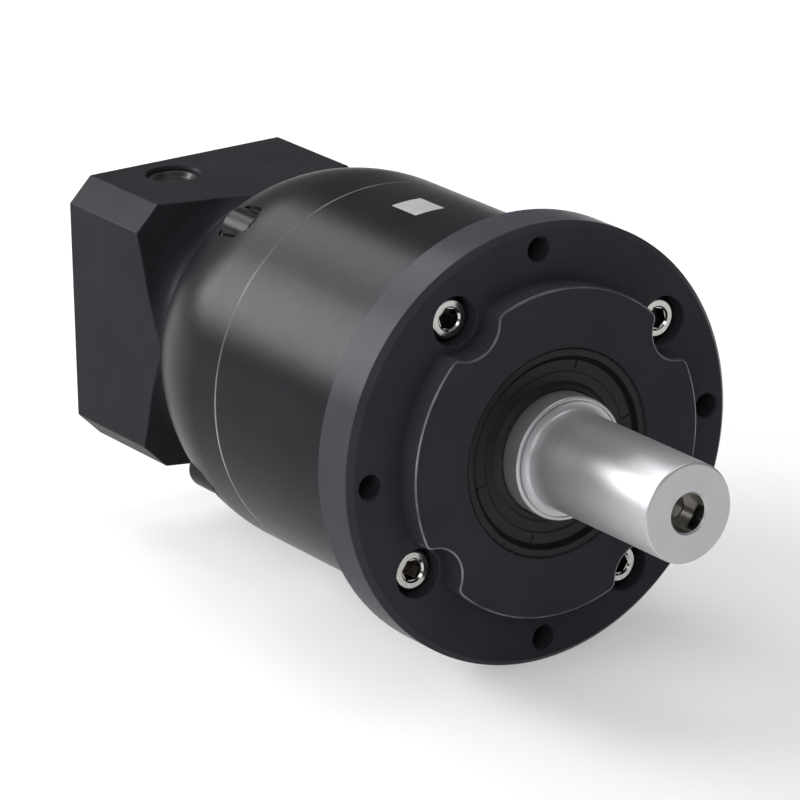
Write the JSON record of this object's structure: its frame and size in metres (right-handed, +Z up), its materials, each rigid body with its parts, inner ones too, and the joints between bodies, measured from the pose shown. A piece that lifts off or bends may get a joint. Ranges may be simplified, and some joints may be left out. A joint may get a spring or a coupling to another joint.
{
  "type": "planetary gearbox",
  "caption": "In-line planetary gearbox with a round mounting flange, plain output shaft and a square adapter that clamps a motor shaft.",
  "frame": {"origin": "centre of the flange's mounting face, on the gearbox axis", "axes": "+X along the gearbox axis, out of the output shaft; +Z up, towards the side with the access hole"},
  "size_m": [0.1783, 0.09, 0.09],
  "materials": {
    "black_housing": "satin black anodised",
    "black_flange": "satin black anodised, turned",
    "black_adapter": "satin black anodised, milled",
    "ground_shaft": "ground",
    "plated_screw": "plated",
    "gear_steel": "hardened and ground",
    "bearing_steel": "polished",
    "bronze": "turned",
    "seal_rubber": "moulded",
    "plug_plastic": "moulded",
    "spring_steel": "phosphated"
  },
  "bodies": {
    "housing": {"output_housing": "black_flange", "ring_gear_body": "black_housing", "rear_housing": "black_housing", "motor_adapter": "black_adapter", "access_plug": "plug_plastic", "clamp_screws": "plated_screw", "adapter_screws": "plated_screw", "output_seal": "seal_rubber", "output_circlip": "spring_steel", "output_bearing_outer_ring": "bearing_steel", "carrier_bearing_outer_ring": "bearing_steel", "input_bearing_outer_ring": "bearing_steel"},
    "carrier": {"output_shaft": "ground_shaft", "carrier_rear_plate": "gear_steel", "carrier_screws": "plated_screw", "output_bearing_inner_ring": "bearing_steel", "carrier_bearing_inner_ring": "bearing_steel", "planet_pin_1": "bearing_steel", "planet_pin_2": "bearing_steel", "planet_pin_3": "bearing_steel"},
    "motor_input": {"sun_gear": "gear_steel", "input_shaft": "gear_steel", "clamp_collar": "gear_steel", "clamp_collar_screw": "plated_screw", "input_bearing_inner_ring": "bearing_steel"},
    "planet_1": {"planet_gear_1": "gear_steel", "planet_bush_1": "bronze"},
    "planet_2": {"planet_gear_2": "gear_steel", "planet_bush_2": "bronze"},
    "planet_3": {"planet_gear_3": "gear_steel", "planet_bush_3": "bronze"}
  },
  "joints": [
    {"name": "output_spin", "type": "hinge", "parent": "housing", "child": "carrier", "pos_m": [0, 0, 0], "axis": [1, 0, 0], "continuous": true},
    {"name": "input_spin", "type": "hinge", "parent": "housing", "child": "motor_input", "pos_m": [-0.1, 0, 0], "axis": [1, 0, 0], "continuous": true},
    {"name": "planet_1_spin", "type": "hinge", "parent": "carrier", "child": "planet_1", "pos_m": [-0.035, 0, 0.018], "axis": [1, 0, 0], "continuous": true},
    {"name": "planet_2_spin", "type": "hinge", "parent": "carrier", "child": "planet_2", "pos_m": [-0.035, -0.01559, -0.009], "axis": [1, 0, 0], "continuous": true},
    {"name": "planet_3_spin", "type": "hinge", "parent": "carrier", "child": "planet_3", "pos_m": [-0.035, 0.01559, -0.009], "axis": [1, 0, 0], "continuous": true}
  ],
  "couplings": [
    {"joint": "input_spin", "follows": "output_spin", "ratio": 4},
    {"joint": "planet_1_spin", "follows": "output_spin", "ratio": -3},
    {"joint": "planet_2_spin", "follows": "output_spin", "ratio": -3},
    {"joint": "planet_3_spin", "follows": "output_spin", "ratio": -3}
  ]
}
